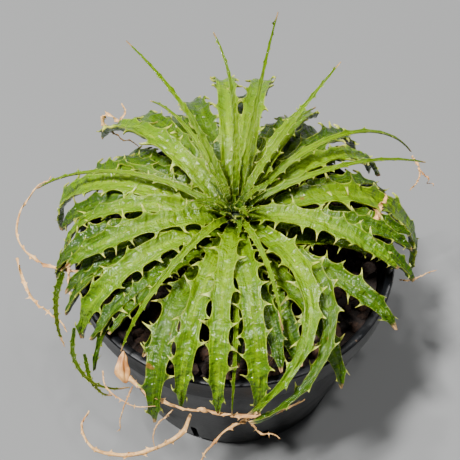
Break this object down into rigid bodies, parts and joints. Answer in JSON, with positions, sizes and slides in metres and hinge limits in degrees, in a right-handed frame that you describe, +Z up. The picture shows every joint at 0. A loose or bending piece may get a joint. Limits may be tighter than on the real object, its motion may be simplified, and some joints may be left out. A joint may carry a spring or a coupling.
{
  "type": "potted plant",
  "caption": "Rosette of arching spiny strap leaves on a short stem, rooted in baked-clay substrate in a round tapered plastic nursery pot with slit base.",
  "frame": {"origin": "centre of the flat underside of the pot, on the surface it stands on", "axes": "+Z up along the pot's axis; -Y is the plant's front, the side where the long leaves hang over the rim; +X to the right seen from the front"},
  "size_m": [0.1346, 0.1394, 0.1299],
  "materials": {
    "pot_plastic": "satin black moulded plastic",
    "baked_clay": "dull dark brown porous clay granules",
    "stem": "matte fibrous leaf bases",
    "leaf_young": "smooth waxy young leaf",
    "leaf_upper": "glossy striated strap leaf with pale margins",
    "leaf_lower": "glossy darker strap leaf with pale margins"
  },
  "bodies": {
    "root": {"pot": "pot_plastic", "substrate": "baked_clay", "stem": "stem", "leaf_young_back_left": "leaf_young", "leaf_young_back": "leaf_young", "leaf_young_back_right": "leaf_young", "leaf_young_right": "leaf_young", "leaf_narrow_left": "leaf_young", "leaf_narrow_front_left": "leaf_young", "leaf_narrow_front": "leaf_young", "leaf_narrow_front_mid": "leaf_young", "leaf_narrow_back_left": "leaf_young", "leaf_narrow_right_back": "leaf_young", "leaf_narrow_right": "leaf_young", "leaf_narrow_back_right": "leaf_young", "leaf_crown_a": "leaf_young", "leaf_crown_b": "leaf_young", "leaf_crown_c": "leaf_young", "leaf_crown_d": "leaf_young", "leaf_back_left_a": "leaf_upper", "leaf_back_right_a": "leaf_upper", "leaf_back_right_b": "leaf_upper", "leaf_back_left_b": "leaf_upper", "leaf_right_back_a": "leaf_upper", "leaf_right_a": "leaf_upper", "leaf_right_front_a": "leaf_upper", "leaf_front_right_a": "leaf_upper", "leaf_front_a": "leaf_upper", "leaf_front_b": "leaf_upper", "leaf_front_left_a": "leaf_upper", "leaf_left_front_a": "leaf_upper", "leaf_left_front_b": "leaf_upper", "leaf_left_a": "leaf_upper", "leaf_left_b": "leaf_upper", "leaf_back_left_c": "leaf_lower", "leaf_back_left_d": "leaf_lower", "leaf_back_right_c": "leaf_lower", "leaf_back_right_d": "leaf_lower", "leaf_left_c": "leaf_lower", "leaf_left_front_c": "leaf_lower", "leaf_right_b": "leaf_lower", "leaf_right_c": "leaf_lower", "leaf_front_right_b": "leaf_lower", "leaf_front_left_b": "leaf_lower", "leaf_back_e": "leaf_lower", "leaf_back_left_e": "leaf_lower", "leaf_left_d": "leaf_lower", "leaf_left_front_d": "leaf_lower", "leaf_left_front_e": "leaf_lower", "leaf_front_left_d": "leaf_lower", "leaf_front_d": "leaf_lower", "leaf_front_right_c": "leaf_lower", "leaf_front_right_d": "leaf_lower", "leaf_front_right_e": "leaf_lower", "leaf_right_d": "leaf_lower"}
  },
  "joints": []
}
